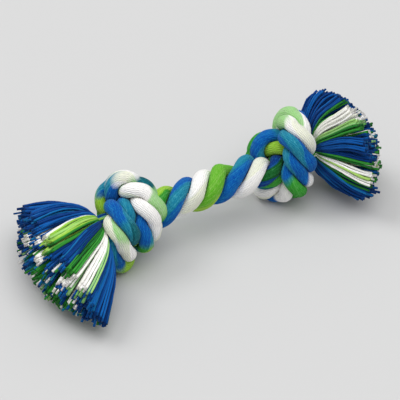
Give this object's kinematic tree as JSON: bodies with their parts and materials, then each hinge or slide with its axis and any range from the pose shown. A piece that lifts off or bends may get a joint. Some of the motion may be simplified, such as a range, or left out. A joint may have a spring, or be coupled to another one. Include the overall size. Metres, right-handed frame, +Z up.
{
  "type": "rope dog toy",
  "caption": "Knotted rope tug toy: twisted three-strand cotton rope with a bulky knot near each end and combed-out yarn fringes.",
  "frame": {"origin": "middle of the toy's footprint, on the floor that both knots lie on", "axes": "+X along the rope from the left knot to the right one, +Z up, away from the floor"},
  "size_m": [0.2392, 0.107, 0.0711],
  "materials": {
    "blue_cotton": "matte",
    "white_cotton": "matte",
    "green_cotton": "matte",
    "mixed_yarn": "matte"
  },
  "bodies": {
    "root": {"strand_blue": "blue_cotton", "strand_white": "white_cotton", "strand_green": "green_cotton", "fringe_left_upper": "mixed_yarn", "fringe_left_lower": "mixed_yarn", "fringe_right_upper": "mixed_yarn", "fringe_right_lower": "mixed_yarn"}
  },
  "joints": []
}
